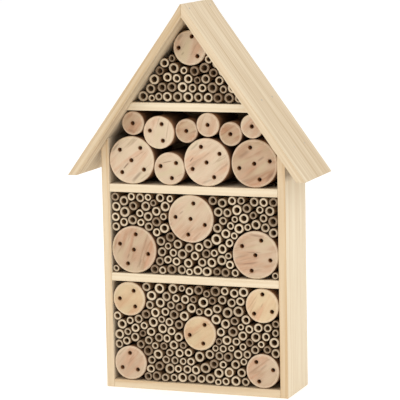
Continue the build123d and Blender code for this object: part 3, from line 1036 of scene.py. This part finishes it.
# ---- fasteners and hanger

NAIL_SEGMENTS = 24


def axis_of(solid):
    """Middle of the head, direction inwards and length of a nail or screw, from its vertices."""
    centre = solid.mean(0)
    along = np.linalg.svd(solid - centre)[2][0]
    reach = (solid - centre) @ along
    near, far = (solid[np.abs(reach - end) < 0.05 * MM] for end in (reach.min(), reach.max()))
    if np.ptp(near, axis=0).max() > np.ptp(far, axis=0).max():
        return Vector(near.mean(0)), Vector(along), np.ptp(reach)
    return Vector(far.mean(0)), -Vector(along), np.ptp(reach)


def lathe(surface, start, inward, profile):
    """Turns a profile of (radius, depth) in mm about an axis, from a tip on it to another tip."""
    aside = inward.orthogonal().normalized()
    other = inward.cross(aside)
    rings = []
    for radius, depth in profile:
        middle = start + inward * depth * MM
        places = [middle]
        if radius:
            spokes = [aside * math.cos(a) + other * math.sin(a) for a in angles(NAIL_SEGMENTS)]
            places = [middle + spoke * radius * MM for spoke in spokes]
        rings.append([surface.point(tuple(place)) for place in places])
    surface.cap(rings[1], rings[0][0])
    for ring, following in zip(rings[1:-2], rings[2:-1]):
        surface.stitch(ring, following)
    surface.cap(rings[-2], rings[-1][0])


NAIL_SHANK = 0.8
NAIL_HEAD = 1.15


def build_nails(node, material):
    """A group of nails: flat heads just under the surface, straight shanks and cut points."""
    surface = Surface()
    for solid in islands(node):
        start, inward, length = axis_of(solid)
        total = length / MM
        profile = [(0, 0.16), (NAIL_HEAD * 0.5, 0.16), (NAIL_HEAD * 0.85, 0.2)]
        profile += [(NAIL_HEAD, 0.35), (NAIL_HEAD, 0.6)]
        profile += [(NAIL_SHANK, 0.8), (NAIL_SHANK, total - 2.4), (NAIL_SHANK / 2, total - 0.9), (0, total)]
        lathe(surface, start, inward, profile)
    surface.show(node, [material])


SCREW_HEAD_RINGS = 10
SCREW_SEGMENTS = 40


def cross_recess(x, z):
    """Depth in mm of the cross-shaped recess at a place on a screw's head, in mm."""
    across, along = sorted((abs(x), abs(z)))
    flank = min(1.0, max(0.0, (0.5 - across) / 0.15))
    end = min(1.0, max(0.0, (1.6 - along) / 0.3))
    return 0.75 * flank * end


def build_hanger_screws(material):
    """Two pan-head screws with cross recesses, and threaded shanks."""
    surface = Surface()
    for turn, solid in enumerate(islands("hanger_screws")):
        start, _, length = axis_of(solid)
        head_radius = np.ptp(solid[:, 0]) / 2 / MM
        rear = solid[:, 1].max()
        cos_turn = math.cos(0.4 + turn)
        sin_turn = math.sin(0.4 + turn)

        def ring(radius, depth):
            numbers = []
            for angle in angles(SCREW_SEGMENTS):
                x = radius * math.cos(angle)
                z = radius * math.sin(angle)
                sunk = depth + cross_recess(x * cos_turn + z * sin_turn, z * cos_turn - x * sin_turn)
                place = (start.x + x * MM, rear - sunk * MM, start.z + z * MM)
                numbers.append(surface.point(place))
            return numbers

        middle = (start.x, rear - 0.75 * MM, start.z)
        loop = ring(head_radius * 0.04, 0.0)
        surface.cap(loop, surface.point(middle))
        for i in range(1, SCREW_HEAD_RINGS + 1):
            share = i / SCREW_HEAD_RINGS
            loop = surface.stitch(loop, ring(head_radius * share, 0.65 * share**4))
        shank_top = 1.2
        steps = [(head_radius, shank_top)]
        thread = [(1.3 if k % 2 else 1.0, shank_top + 0.25 * k) for k in range(1, 18)]
        for radius, depth in steps + thread + [(0.3, length / MM)]:
            loop = surface.stitch(loop, ring(radius, depth))
        tip = (start.x, rear - length, start.z)
        surface.cap(loop, surface.point(tip))
    surface.show("hanger_screws", [material])


HANGER_CORNER = 8.0
KEYHOLE_RADIUS = 4.5
KEYHOLE_SLOT = 2.2
KEYHOLE_RISE = 7.5
HANGER_SCREW_HOLE = 1.35


def keyhole_loop(grow):
    """Outline of the keyhole in mm about the plate's middle, grown by a bevel."""
    slot = KEYHOLE_SLOT + grow
    wide = KEYHOLE_RADIUS + grow
    meet = math.acos(slot / wide)
    big = [math.pi - meet + (math.pi + 2 * meet) * i / 30 for i in range(31)]
    top = [math.pi * i / 12 for i in range(13)]
    lower = [(wide * math.cos(a), wide * math.sin(a)) for a in big]
    upper = [(slot * math.cos(a), KEYHOLE_RISE + slot * math.sin(a)) for a in top]
    return lower + upper


def plate_loop(width, height, radius):
    """Outline of a plate with rounded corners, in mm about its middle."""
    points = []
    for quarter, (sx, sz) in enumerate(((1, 1), (-1, 1), (-1, -1), (1, -1))):
        for i in range(9):
            angle = math.pi / 2 * (quarter + i / 8)
            x = sx * (width / 2 - radius) + radius * math.cos(angle)
            z = sz * (height / 2 - radius) + radius * math.sin(angle)
            points.append((x, z))
    return points


def build_hanger_plate(material):
    """Zinc-plated keyhole plate with softened edges."""
    low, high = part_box("hanger_plate")
    middle = (low + high) / 2
    width = (high.x - low.x) / MM
    height = (high.z - low.z) / MM
    soft = 0.3
    holes = [axis_of(solid)[0] for solid in islands("hanger_screws")]
    screw_places = [((h.x - middle.x) / MM, (h.z - middle.z) / MM) for h in holes]

    def loops(bevel):
        outer = plate_loop(width - 2 * bevel, height - 2 * bevel, HANGER_CORNER - bevel)
        inner = [keyhole_loop(bevel)]
        inner += [circle(HANGER_SCREW_HOLE + bevel, 24, place) for place in screw_places]
        return [[(x * MM, z * MM) for x, z in loop] for loop in [outer] + inner]

    flat = loops(soft)
    full = loops(0.0)
    points, triangles = triangulate(flat, [])
    openings = [Vector((0, 0)), Vector((0, KEYHOLE_RISE))] + [Vector(p) for p in screw_places]
    surface = Surface()

    def add(loop, y):
        places = [(middle.x + x, y, middle.z + z) for x, z in loop]
        return [surface.point(place) for place in places]

    def is_open(place):
        at = Vector(place) / MM
        if abs(at.x) < KEYHOLE_SLOT + soft and 0 < at.y < KEYHOLE_RISE:
            return True
        radii = (KEYHOLE_RADIUS, KEYHOLE_SLOT, HANGER_SCREW_HOLE, HANGER_SCREW_HOLE)
        return any((at - o).length < r + soft * 0.9 for o, r in zip(openings, radii))

    previous = None
    for y, inset in ((low.y, soft * MM), (high.y, -soft * MM)):
        numbers = add(points, y)
        surface.sheet(points, triangles, numbers, is_open)
        rims = [add(loop, y + inset) for loop in full]
        first = 0
        for rim in rims:
            surface.stitch(numbers[first : first + len(rim)], rim)
            first += len(rim)
        if previous:
            for rim, other in zip(rims, previous):
                surface.stitch(other, rim)
        previous = rims
    surface.show("hanger_plate", [material], 50.0)


# ---- floor

FLOOR_HALF = 30.0
FLOOR_CELLS = 60


def add_floor(material):
    bm = bmesh.new()
    bmesh.ops.create_grid(bm, x_segments=FLOOR_CELLS, y_segments=FLOOR_CELLS, size=FLOOR_HALF)
    mesh = bpy.data.meshes.new("floor")
    bm.to_mesh(mesh)
    bm.free()
    mesh.materials.append(material)
    add_object("floor", mesh)


# ---- the insect hotel


def build_boards():
    """The boards. Each one's looks are its seed, how brown it is, its pith's place in mm, and sawn."""
    front = pine_material("pine_board", srgb(231, 217, 190), srgb(200, 170, 130), 0.4)
    roof = pine_material("pine_roof", srgb(228, 212, 184), srgb(184, 156, 118), 0.6)
    panels = {
        "base_panel": (3, 1.3, (60, -18), 0.0),
        "lower_shelf": (7, 0.75, (48, 22), 0.0),
        "middle_shelf": (12, 0.6, (55, -14), 0.0),
        "attic_shelf": (19, 0.65, (44, 16), 0.0),
        "left_side_panel": (23, 0.5, (70, 25), 0.7),
        "right_side_panel": (31, 0.55, (62, -30), 1.1),
    }
    roofs = {
        "left_roof_board": (41, 0.55, (66, 20), 0.8),
        "right_roof_board": (47, 0.75, (58, -24), 0.0),
    }
    for node, looks in panels.items():
        build_board(node, front, "pine_board", *looks)
    for node, looks in roofs.items():
        build_board(node, roof, "roof_board", *looks)
    build_back_panel(plywood_material())


def build_filling():
    side = log_side_material()
    drilled = drilled_material()
    end = log_end_material("log_end", srgb(208, 186, 159), srgb(158, 117, 86))
    warm_end = log_end_material("log_end_warm", srgb(210, 184, 147), srgb(160, 118, 80))
    for node in LOG_LOOKS:
        build_log(node, [warm_end if node in WARM_LOGS else end, side, drilled])
    bamboo = [cane_end_material(), cane_skin_material(), cane_bore_material()]
    bundles = sorted(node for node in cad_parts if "_canes_" in node)
    plugged = nearest_cane(bundles, PLUGGED_CANE)
    for node in bundles:
        build_bundle(node, bamboo, plugged)


def build_fasteners():
    steel = metal_material("steel", (178, 176, 170), 0.35)
    zinc = metal_material("zinc", (196, 200, 206), 0.3)
    for node in ("side_nails", "roof_nails", "back_panel_brads"):
        build_nails(node, steel)
    build_hanger_screws(steel)
    build_hanger_plate(zinc)


add_camera()
add_world(0.85)
add_softbox("key", -12, 38, 2.4, 1.6, 14)
add_softbox("side", 75, 46, 2.6, 1.5, 11)
add_softbox("top", 10, 80, 2.6, 2.0, 7)
bpy.context.scene.view_settings.view_transform = "Standard"
build_boards()
build_filling()
build_fasteners()
add_floor(floor_material())
